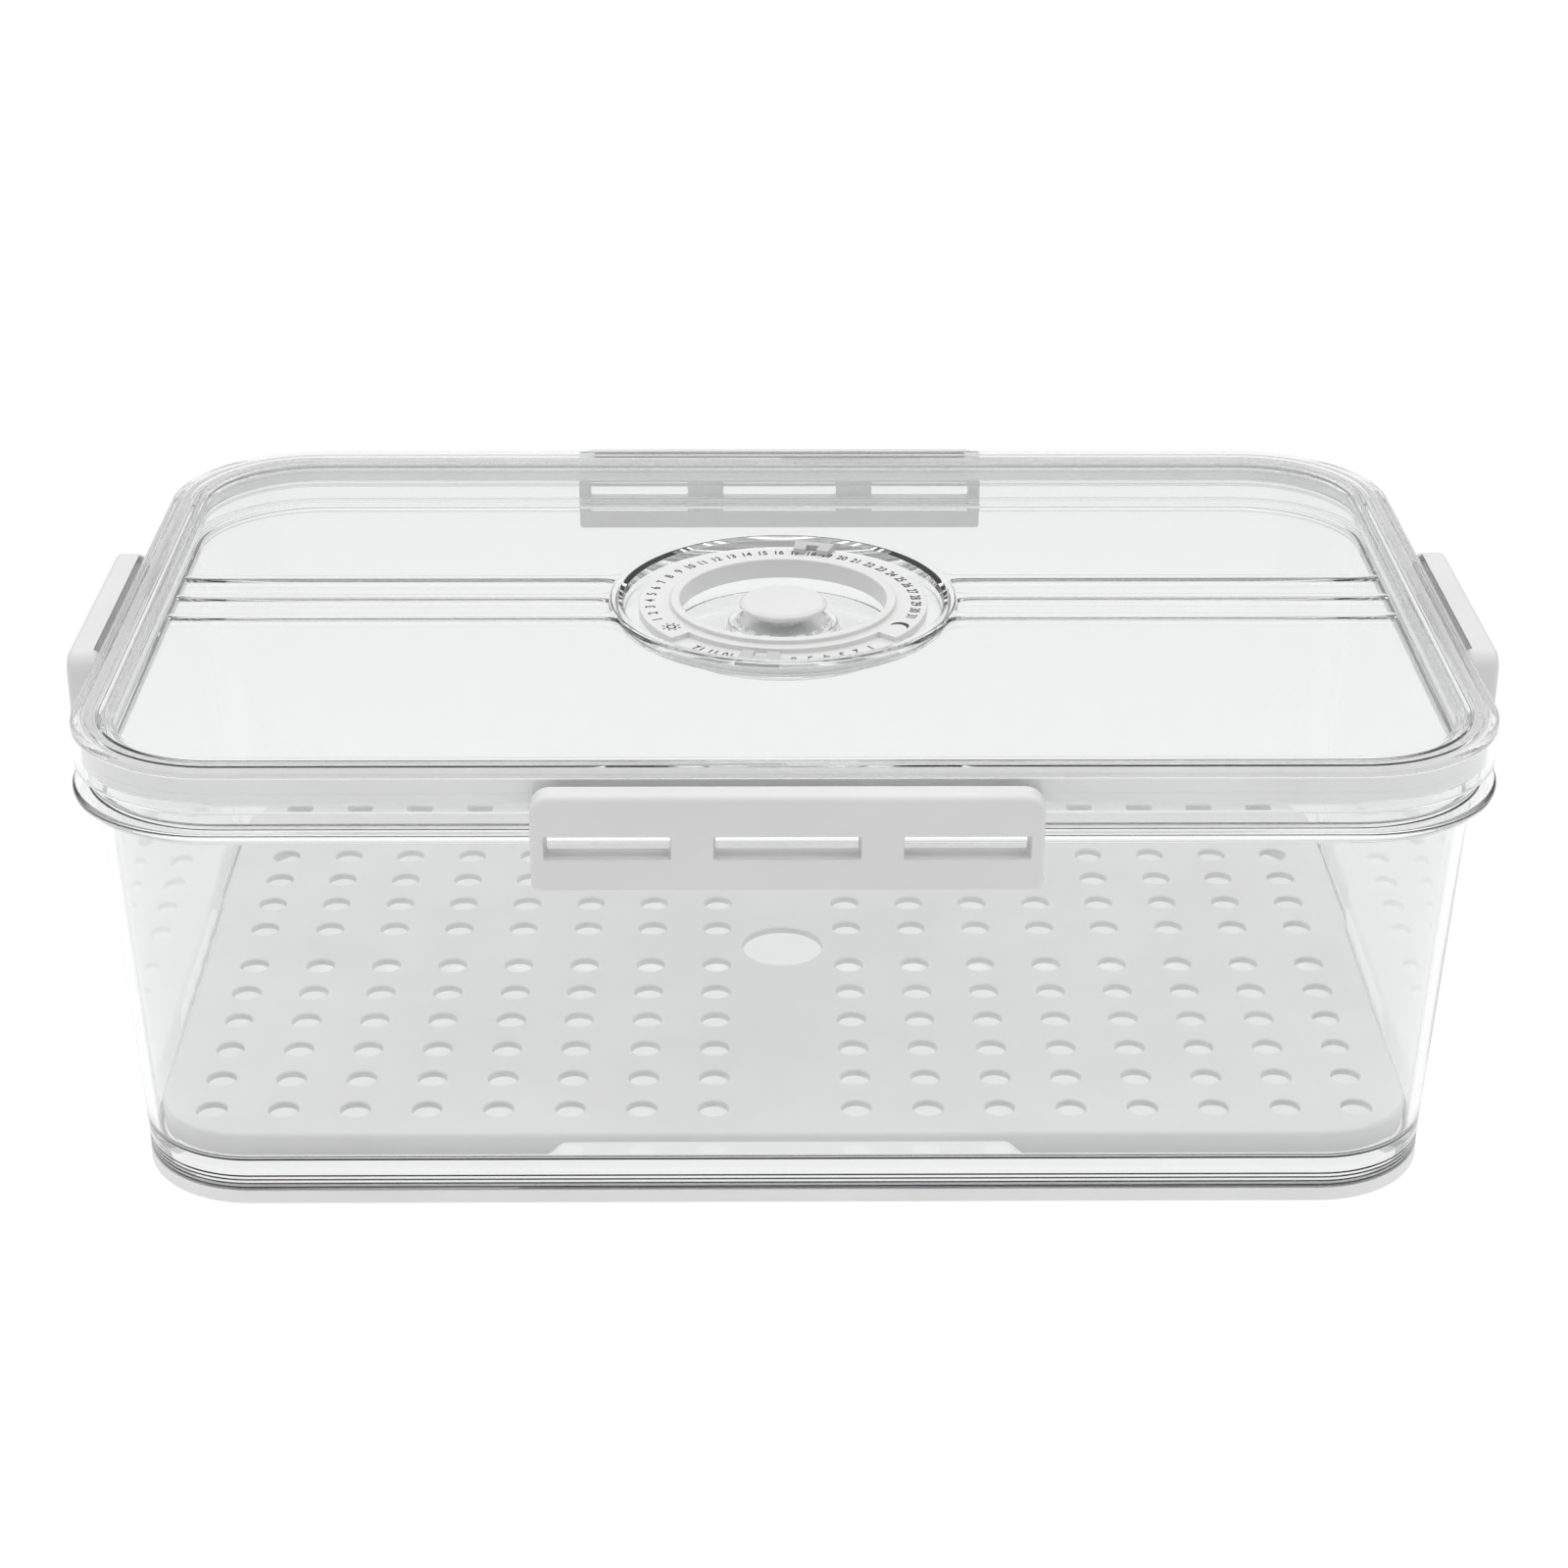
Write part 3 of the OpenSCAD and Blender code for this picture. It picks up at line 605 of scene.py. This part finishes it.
latch_low, latch_high = box_mm("latch_front")
LATCH_TOP, LATCH_LOW = latch_high.z, latch_low.z
LATCH_OUT = -latch_low.y - CORE_Y - SKIRT_REACH
LATCH_IN = FLANGE_REACH + MOVE_GAP - SKIRT_REACH
HINGE_R = HINGE_OUT - HINGE_WALL
HINGE_Z = LATCH_TOP - HINGE_R
WEB_LEAN = 225
SLOT_FROM, SLOT_TO, SLOT_DEPTH = 110, 255, 12
LATCH_PLACES = (
    (box_mm("latch_front")[1].x, (180, 0), CORE_Y + SKIRT_REACH),
    (box_mm("latch_left")[1].y, (90, -90), CORE_X + SKIRT_REACH),
)


def about_hinge(radius, start, end, steps):
    """Points of an arc about the hinge axis, as distance out from the skirt and height."""
    turns = [math.radians(start + (end - start) * k / steps) for k in range(steps + 1)]
    return [(HINGE_OUT + radius * math.cos(a), HINGE_Z + radius * math.sin(a)) for a in turns]


def prism(section, half):
    """A closed bar along X with a section given as distance out and height."""
    shape = Shape()
    ends = [shape.loop([(x, out, z) for out, z in section]) for x in (-half, half)]
    shape.skin(ends)
    shape.fill(ends[0], axes=(1, 2))
    shape.fill(ends[1], axes=(1, 2))
    return shape


def rail_mesh(half):
    """The rail that a latch turns on: a round bar on a leaning web that joins the skirt."""
    spread = math.degrees(math.asin(WEB_T / 2 / RAIL_R))
    section = about_hinge(RAIL_R, WEB_LEAN + spread - 360, WEB_LEAN - spread, 26)
    inner = -SKIRT_T / 2
    for out, z in (section[-1], section[0]):
        section.append((inner, z - (out - inner)))
    return prism(section, half - EAR_W - MOVE_GAP).mesh("rail")


def make_gasket():
    inner = PLUG_OUT + REST_GAP
    outer = gasket_high.x - CORE_X
    low, high = gasket_low.z, gasket_high.z
    corners = [
        (inner, low, 0.9), (inner + 1.6, low, 0.3), (inner + 1.9, low + 0.35, 0.2),
        (outer - 1.5, low + 0.35, 0.2), (outer - 1.2, low, 0.3), (outer, low, 0.7),
        (outer, low + 2.2, 0.1), (outer - 0.15, low + 2.35, 0.1), (outer - 0.15, low + 2.55, 0.1),
        (outer, low + 2.7, 0.1), (outer, high, 0.4), (inner, high, 0.4),
    ]
    shape = Shape()
    shape.sweep(fillet(corners), closed=True)
    return place(
        "gasket_ring", shape.mesh("gasket_ring"), "lid", SILICONE, ["lid_gasket"]
    )


# Dial and vent

def make_cup():
    floor_t, hub_h, hub_t, hub_r, stem_hole = 1.8, 3.1, 1.3, 14.6, 2.88
    slots_count, slot_in, slot_out, slot_half = 16, 10.55, 11.75, 1.3
    under, floor = cup_low.z, cup_low.z + floor_t
    outer, top = cup_high.x, RECESS_UNDER
    hub_top = floor + hub_h
    hub_under = hub_top - hub_t
    corners = [
        (stem_hole, hub_top, 0.2), (hub_r - 1, hub_top, 0.8), (hub_r, floor, 0.5),
        (HOLE_R, floor, 0.8), (HOLE_R, top, 0.15), (outer, top, 0.15), (outer, under, 0.9),
        (hub_r - 1.8, under, 0.3), (hub_r - 2.3, hub_under, 0.4), (stem_hole, hub_under, 0.2),
    ]
    shape = Shape()
    shape.lathe(fillet(corners), 128, closed=True)
    flat = fillet([
        (slot_in, -slot_half, 0.5), (slot_out, -slot_half, 0.5),
        (slot_out, slot_half, 0.5), (slot_in, slot_half, 0.5),
    ])
    slots = []
    for i in range(slots_count):
        turn = TURN * i / slots_count
        cos, sin = math.cos(turn), math.sin(turn)
        cutter = Shape()
        loops = [
            cutter.loop([(x * cos - y * sin, x * sin + y * cos, z) for x, y in flat])
            for z in (hub_under - 1, hub_top + 1)
        ]
        cutter.skin(loops)
        cutter.fill(loops[0])
        cutter.fill(loops[1])
        slots.append(cutter.mesh("slot"))
    cut = combined(shape.mesh("cup"), slots, "DIFFERENCE")
    return place("cup", cut, "lid", CLEAR, ["vent_cup"])


RING_R, COLLAR_R, COLLAR_IN, COLLAR_H, RING_T = ring_high.x, 28, 25.6, 1.2, 2.3
RING_TOP = ring_high.z - COLLAR_H
TRACK_D, TRACK_IN, TRACK_HALF = 1.3, 30.5, 49

# The dial's marks: angles in degrees, radii and heights of the digits in millimetres
DAY_FIRST, DAY_STEP, DAY_R, DAY_SIZE = 201.1, 7.307, 32.9, 3.5
MONTH_FIRST, MONTH_STEP, MONTH_R, MONTH_SIZE = -52, 6.818, 33.9, 3.8
SUN_AT, MOON_AT = (-148.6, 32), (-29.9, 32.6)
INK_LIFT, SIGN_H, DIGIT_BOLD, DIGIT_NARROW = 0.02, 0.04, 0.06, 0.8


def make_ring():
    """A ring with two sections: the lower month track in front, the day face elsewhere."""
    low, plate_low, collar_top = ring_low.z, RING_TOP - RING_T, ring_high.z
    face, round_off = RING_TOP - TRACK_D, 0.3
    month = fillet([
        (COLLAR_IN, low, 0.3), (COLLAR_R, low, 0.2), (COLLAR_R, plate_low, 0.1),
        (RING_R, plate_low, 0.2), (RING_R, face, round_off), (TRACK_IN + 0.05, face, 0.12),
        (TRACK_IN - 0.05, RING_TOP, 0.12), (COLLAR_R, RING_TOP, 0.25),
        (COLLAR_R, collar_top, 0.4), (COLLAR_IN, collar_top, 0.4),
    ], 4)
    day = [
        (r, min(z + TRACK_D, RING_TOP) if r > TRACK_IN - 0.2 and z > face - round_off - 0.01 else z)
        for r, z in month
    ]
    first, last = -90 - TRACK_HALF, -90 + TRACK_HALF
    turns = []
    for start, end, line in ((first, last, month), (last, first + 360, day)):
        count = round((end - start) / 2.5)
        turns += [(start + (end - start) * k / count, line) for k in range(count + 1)]
    shape = Shape()
    loops = []
    for turn, line in turns:
        cos, sin = math.cos(math.radians(turn)), math.sin(math.radians(turn))
        loops.append(shape.loop([(r * cos, r * sin, z) for r, z in line]))
    shape.skin(loops, closed=True)
    return place("dial", shape.mesh("dial"), "lid", DIAL, ["dial_ring"], sharp=30)


def make_button():
    low, top, r = button_low.z, button_high.z, button_high.x - 0.4
    line = fillet([
        (0.4, low, 0), (r - 0.8, low, 0.4), (r, low + 0.9, 0.4), (r, top - 0.7, 0.6),
        (r - 1.1, top - 0.1, 0.6), (0.4, top, 0),
    ], 6)
    shape = Shape()
    loops = shape.lathe(line, 96)
    shape.fill(loops[0])
    shape.fill(loops[-1])
    return place(
        "button_cap", shape.mesh("button_cap"), "button", DIAL, ["vent_button"]
    )


def flat_mesh(rings, low, high, place_at):
    """Flat shapes with a little height: each is an outer ring of points and its holes."""
    shape = Shape()
    for outer, holes in rings:
        tops, bottoms = [], []
        for ring in [outer, *holes]:
            bottom = shape.loop([place_at(x, y, low) for x, y in ring])
            top = shape.loop([place_at(x, y, high) for x, y in ring])
            shape.skin([bottom, top])
            tops.append(top)
            bottoms.append(bottom)
        shape.fill(tops[0], tops[1:])
        shape.fill(bottoms[0], bottoms[1:])
    return shape.mesh("mark")


def digits(numbers, radius, size, z):
    """Numbers round the dial, each with its top pointing outward, as one mesh."""
    work = bmesh.new()
    for number, turn in numbers:
        text = bpy.data.curves.new("number", "FONT")
        text.body = str(number)
        text.size = size * MM
        text.align_x = "CENTER"
        text.align_y = "CENTER"
        text.extrude = INK_LIFT * MM
        text.offset = DIGIT_BOLD * MM
        text.resolution_u = 4
        holder = bpy.data.objects.new("number", text)
        bpy.context.scene.collection.objects.link(holder)
        view = bpy.context.evaluated_depsgraph_get()
        mesh = bpy.data.meshes.new_from_object(holder.evaluated_get(view))
        a = math.radians(turn)
        across, out = Vector((math.sin(a), -math.cos(a), 0)), Vector((math.cos(a), math.sin(a), 0))
        at = out * radius * MM
        mesh.transform(Matrix.Diagonal((DIGIT_NARROW, 1, 1, 1)))
        mesh.transform(Matrix((
            (across.x, out.x, 0, at.x), (across.y, out.y, 0, at.y), (0, 0, 1, z * MM), (0, 0, 0, 1)
        )))
        work.from_mesh(mesh)
        bpy.data.objects.remove(holder)
        bpy.data.meshes.remove(mesh)
    bmesh.ops.remove_doubles(work, verts=work.verts, dist=1e-8)
    made = bpy.data.meshes.new("numbers")
    work.to_mesh(made)
    work.free()
    return made


def on_dial(turn, radius):
    """A function that puts a sign's points on the dial, at an angle and a radius."""
    a = math.radians(turn)
    cos, sin = math.cos(a), math.sin(a)
    return lambda x, y, z: ((radius + y) * cos + x * sin, (radius + y) * sin - x * cos, z)


def sun_rings():
    """A small sun: a ring and eight rays."""
    outer_r, inner_r, rays, count = 1.25, 0.8, 8, 32
    ray = [(1.65, -0.2), (2.35, -0.2), (2.35, 0.2), (1.65, 0.2)]
    turns = [TURN * k / count for k in range(count)]
    outer, inner = ([(r * math.cos(a), r * math.sin(a)) for a in turns] for r in (outer_r, inner_r))
    rings = [(outer, [inner])]
    for k in range(rays):
        cos, sin = math.cos(TURN * k / rays), math.sin(TURN * k / rays)
        rings.append(([(x * cos - y * sin, x * sin + y * cos) for x, y in ray], []))
    return rings


def moon_rings():
    """A small crescent: a circle less the same circle moved aside."""
    r, shift, outer_steps, inner_steps = 2.3, 1.3, 24, 16
    meet = math.acos(shift / 2 / r)
    turns = [meet + (TURN - 2 * meet) * k / outer_steps for k in range(outer_steps + 1)]
    outer = [(r * math.cos(a), r * math.sin(a)) for a in turns]
    turns = [TURN - meet - (TURN - 2 * meet) * k / inner_steps for k in range(inner_steps + 1)]
    inner = [(shift + r * math.cos(a), r * math.sin(a)) for a in turns]
    return [(outer + [p for p in inner if math.hypot(*p) < r - 1e-3], [])]


def make_marks():
    days = [(n, DAY_FIRST - (n - 1) * DAY_STEP) for n in range(1, 32)]
    months = [(n, MONTH_FIRST - (n - 1) * MONTH_STEP) for n in range(1, 13)]
    month_z = RING_TOP - TRACK_D
    marks = (
        ("day_numbers", digits(days, DAY_R, DAY_SIZE, RING_TOP + INK_LIFT)),
        ("month_numbers", digits(months, MONTH_R, MONTH_SIZE, month_z + INK_LIFT)),
        ("day_sign", flat_mesh(sun_rings(), RING_TOP, RING_TOP + SIGN_H, on_dial(*SUN_AT))),
        ("month_sign", flat_mesh(moon_rings(), RING_TOP, RING_TOP + SIGN_H, on_dial(*MOON_AT))),
    )
    for name, mesh in marks:
        place(name, mesh, "lid", INK)


# Latches

WINDOW_H, WINDOW_MID_HALF, WINDOW_W, WINDOW_BAR, WINDOW_SIDE = 5.6, 16, 27.6, 9.4, 3


def latch_loop(half, insets, y, steps=7, low_steps=3, low_r=0.9):
    """Outline of a latch's face with round top corners, drawn in by (side, top, bottom)."""
    side, above, below = insets
    top_x, top_z = half - LATCH_CORNER, LATCH_TOP - LATCH_CORNER
    low_x, low_z = half - side - low_r, LATCH_LOW + below + low_r
    points = []
    for sx in (1, -1):
        for k in range(steps + 1):
            a = TURN / 4 * k / steps
            cos, sin = (math.cos(a), math.sin(a)) if sx > 0 else (math.sin(a), math.cos(a))
            x = sx * (top_x + (LATCH_CORNER - side) * cos)
            points.append((x, y, top_z + (LATCH_CORNER - above) * sin))
    for sx in (-1, 1):
        for k in range(low_steps + 1):
            a = TURN / 4 * k / low_steps
            cos, sin = (math.cos(a), math.sin(a)) if sx < 0 else (math.sin(a), math.cos(a))
            points.append((sx * (low_x + low_r * cos), y, low_z - low_r * sin))
    return points


def make_latch(half, windows):
    """A latch along X with its face towards +Y, as in the CAD part."""
    win_low = BIN_H + REST_GAP
    win_high = win_low + WINDOW_H
    shape = Shape()

    def barrel(out):
        """How far the top lies below the latch's top where it curves down behind the hinge."""
        return HINGE_R - math.sqrt(HINGE_R ** 2 - (HINGE_OUT - out) ** 2)

    loops = []
    for edge, out in ((0.5, LATCH_IN), (0.12, LATCH_IN + 0.15), (0, LATCH_IN + 0.5)):
        loops.append(shape.loop(latch_loop(half, (edge, barrel(out) + edge, edge), out)))
    for k in range(1, 7):
        out = LATCH_IN + 0.5 + (HINGE_OUT - LATCH_IN - 0.5) * k / 6
        loops.append(shape.loop(latch_loop(half, (0, barrel(out), 0), out)))
    side_r, top_r, low_r, depth = 1.4, 1.6, 0.4, 1.6
    for k in range(9):
        a = TURN / 4 * k / 8
        draw = 1 - math.cos(a)
        insets = (side_r * draw, top_r * draw, low_r * draw)
        loops.append(shape.loop(latch_loop(half, insets, LATCH_OUT - depth * (1 - math.sin(a)))))
    shape.skin(loops)
    fronts, backs = [], []
    for x0, x1 in windows:
        def opening(grow, sill, y):
            flat = fillet([
                (x0 - grow, win_low + sill, 0.5), (x1 + grow, win_low + sill, 0.5),
                (x1 + grow, win_high + grow, 0.4), (x0 - grow, win_high + grow, 0.4),
            ], 3)
            return shape.loop([(x, y, z) for x, z in flat])
        rings = [
            opening(0.4, -0.25, LATCH_OUT), opening(0.15, -0.05, LATCH_OUT - 0.12),
            opening(0, 0.1, LATCH_OUT - 0.4), opening(-0.3, -0.6, LATCH_IN + 0.2),
            opening(-0.2, -0.7, LATCH_IN),
        ]
        shape.skin(rings)
        fronts.append(rings[0])
        backs.append(rings[-1])
    shape.fill(loops[-1], fronts, axes=(0, 2))
    shape.fill(loops[0], backs, axes=(0, 2))
    section = about_hinge(RAIL_R + MOVE_GAP, SLOT_TO - 360, SLOT_FROM, 26)
    section += about_hinge(SLOT_DEPTH, SLOT_FROM, SLOT_TO, 4)
    pocket = prism(section, half - EAR_W)
    return combined(shape.mesh("latch"), [pocket.mesh("pocket")], "DIFFERENCE")


def make_latches():
    half_long, half_short = LATCH_PLACES[0][0], LATCH_PLACES[1][0]
    mid, half_bar = WINDOW_MID_HALF, WINDOW_BAR / 2
    first = mid + WINDOW_BAR
    last = first + WINDOW_W
    long_windows = [(-last, -first), (-mid, mid), (first, last)]
    short_last = min(half_bar + WINDOW_W, half_short - WINDOW_SIDE)
    short_windows = [(-short_last, -half_bar), (half_bar, short_last)]
    shapes = (make_latch(half_long, long_windows), make_latch(half_short, short_windows))
    names = (("latch_front", "latch_back"), ("latch_left", "latch_right"))
    for mesh, (_, turns, distance), pair in zip(shapes, LATCH_PLACES, names):
        for turn, name in zip(turns, pair):
            place(
                name + "_cover", turned(mesh, turn, distance), name, WHITE, [name]
            )


# Small CAD pieces that keep their shape and get a finish and softened edges

def dress(node, material, soft):
    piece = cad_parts[node]
    piece.data.materials.clear()
    piece.data.materials.append(material)
    if soft:
        bevel = piece.modifiers.new("soft_edges", "BEVEL")
        bevel.width = soft * MM
        bevel.segments = 3
        bevel.limit_method = "ANGLE"
        bevel.angle_limit = math.radians(40)
        bevel.harden_normals = True


def dress_small_pieces():
    # The sliders get the darker copy of the dial plastic: painted shade.
    for node in ("day_slider", "month_slider"):
        dress(node, SLIDER_PAINTED_SHADE, 0.2)
    for node in ("vent_stem", "stem_clip"):
        dress(node, DIAL, 0.1)
    dress("vent_seal", SILICONE, 0.1)
    for side in ("front", "back", "left", "right"):
        dress("hinge_pin_" + side, WHITE, 0.15)


# Scene

def make_camera():
    yaw, pitch, roll = (math.radians(a) for a in (CAMERA_YAW, CAMERA_PITCH, CAMERA_ROLL))
    ahead = Vector((
        math.sin(yaw) * math.cos(pitch), math.cos(yaw) * math.cos(pitch), -math.sin(pitch)
    ))
    level = Vector((math.cos(yaw), -math.sin(yaw), 0))
    upright = level.cross(ahead)
    right = level * math.cos(roll) + upright * math.sin(roll)
    up = upright * math.cos(roll) - level * math.sin(roll)
    camera = bpy.data.objects.new("camera", bpy.data.cameras.new("camera"))
    bpy.context.scene.collection.objects.link(camera)
    camera.data.lens = CAMERA_LENS
    camera.data.sensor_width = 36
    at = Vector(CAMERA_AT) * MM
    camera.matrix_world = Matrix((
        (right.x, up.x, -ahead.x, at.x), (right.y, up.y, -ahead.y, at.y),
        (right.z, up.z, -ahead.z, at.z), (0, 0, 0, 1),
    ))
    bpy.context.scene.camera = camera


FLOOR_R, FLOOR_DROP, FLOOR_TONE = 4000, 0.2, 0.2
GLOW_MIDDLE, GLOW_FROM, GLOW_TO = (0, 0.45, 0), 1.0, 2.2
GLOW_NEAR, GLOW_FAR = 0.83, 0.42


def make_stage():
    """A pale floor that glows, so that the clear pieces stand on white, and fades far away."""
    shape = Shape()
    rim = shape.loop(circle(FLOOR_R, -FLOOR_DROP, 64))
    shape.fill(rim)
    mesh = shape.mesh("floor")
    floor = bpy.data.objects.new("floor", mesh)
    bpy.context.scene.collection.objects.link(floor)
    made, nodes, links, shader = new_material("floor_paint")
    shader.inputs["Base Color"].default_value = (FLOOR_TONE, FLOOR_TONE, FLOOR_TONE, 1)
    shader.inputs["Emission Color"].default_value = (1, 1, 1, 1)
    where = nodes.new("ShaderNodeTexCoord")
    away = nodes.new("ShaderNodeVectorMath")
    away.operation = "DISTANCE"
    away.inputs[1].default_value = GLOW_MIDDLE
    fade = nodes.new("ShaderNodeMapRange")
    fade.inputs["From Min"].default_value = GLOW_FROM
    fade.inputs["From Max"].default_value = GLOW_TO
    fade.inputs["To Min"].default_value = GLOW_NEAR
    fade.inputs["To Max"].default_value = GLOW_FAR
    links.new(where.outputs["Object"], away.inputs[0])
    links.new(away.outputs["Value"], fade.inputs["Value"])
    links.new(fade.outputs["Result"], shader.inputs["Emission Strength"])
    shader.inputs["Roughness"].default_value = 0.9
    shader.inputs["Specular IOR Level"].default_value = 0
    mesh.materials.append(made)


SKY_STRENGTH, SKY_LEAN = 1.55, 0.3
SKY_STOPS = ((0.0, 0.32), (0.12, 0.24), (0.3, 0.42), (0.6, 0.9), (1.0, 1.0))


def make_light():
    """Soft light from all round, brightest overhead and dimmer low down and in front."""
    world = bpy.data.worlds.new("studio")
    bpy.context.scene.world = world
    world.use_nodes = True
    nodes, links = world.node_tree.nodes, world.node_tree.links
    where = nodes.new("ShaderNodeTexCoord")
    split = nodes.new("ShaderNodeSeparateXYZ")
    tone = nodes.new("ShaderNodeValToRGB")
    links.new(where.outputs["Generated"], split.inputs["Vector"])
    front = nodes.new("ShaderNodeMath")
    front.operation = "MINIMUM"
    front.inputs[1].default_value = 0
    lean = nodes.new("ShaderNodeMath")
    lean.operation = "MULTIPLY_ADD"
    lean.inputs[1].default_value = SKY_LEAN
    links.new(split.outputs["Y"], front.inputs[0])
    links.new(front.outputs["Value"], lean.inputs[0])
    links.new(split.outputs["Z"], lean.inputs[2])
    links.new(lean.outputs["Value"], tone.inputs["Fac"])
    links.new(tone.outputs["Color"], nodes["Background"].inputs["Color"])
    ramp = tone.color_ramp
    while len(ramp.elements) < len(SKY_STOPS):
        ramp.elements.new(0.5)
    for element, (at, value) in zip(ramp.elements, SKY_STOPS):
        element.position = at
        element.color = (value, value, value, 1)
    nodes["Background"].inputs["Strength"].default_value = SKY_STRENGTH


def set_render():
    """Plain colours, bounces enough for light to cross the clear walls, sharp reflections."""
    scene = bpy.context.scene
    scene.view_settings.view_transform = "Standard"
    scene.cycles.blur_glossy = 0
    scene.cycles.max_bounces = 64
    scene.cycles.transmission_bounces = 40
    scene.cycles.glossy_bounces = 18
    scene.cycles.transparent_max_bounces = 16


make_bin()
make_band()
make_tray()
make_lid()
make_gasket()
make_cup()
make_ring()
make_button()
make_marks()
make_latches()
dress_small_pieces()
make_stage()
make_light()
set_render()
make_camera()
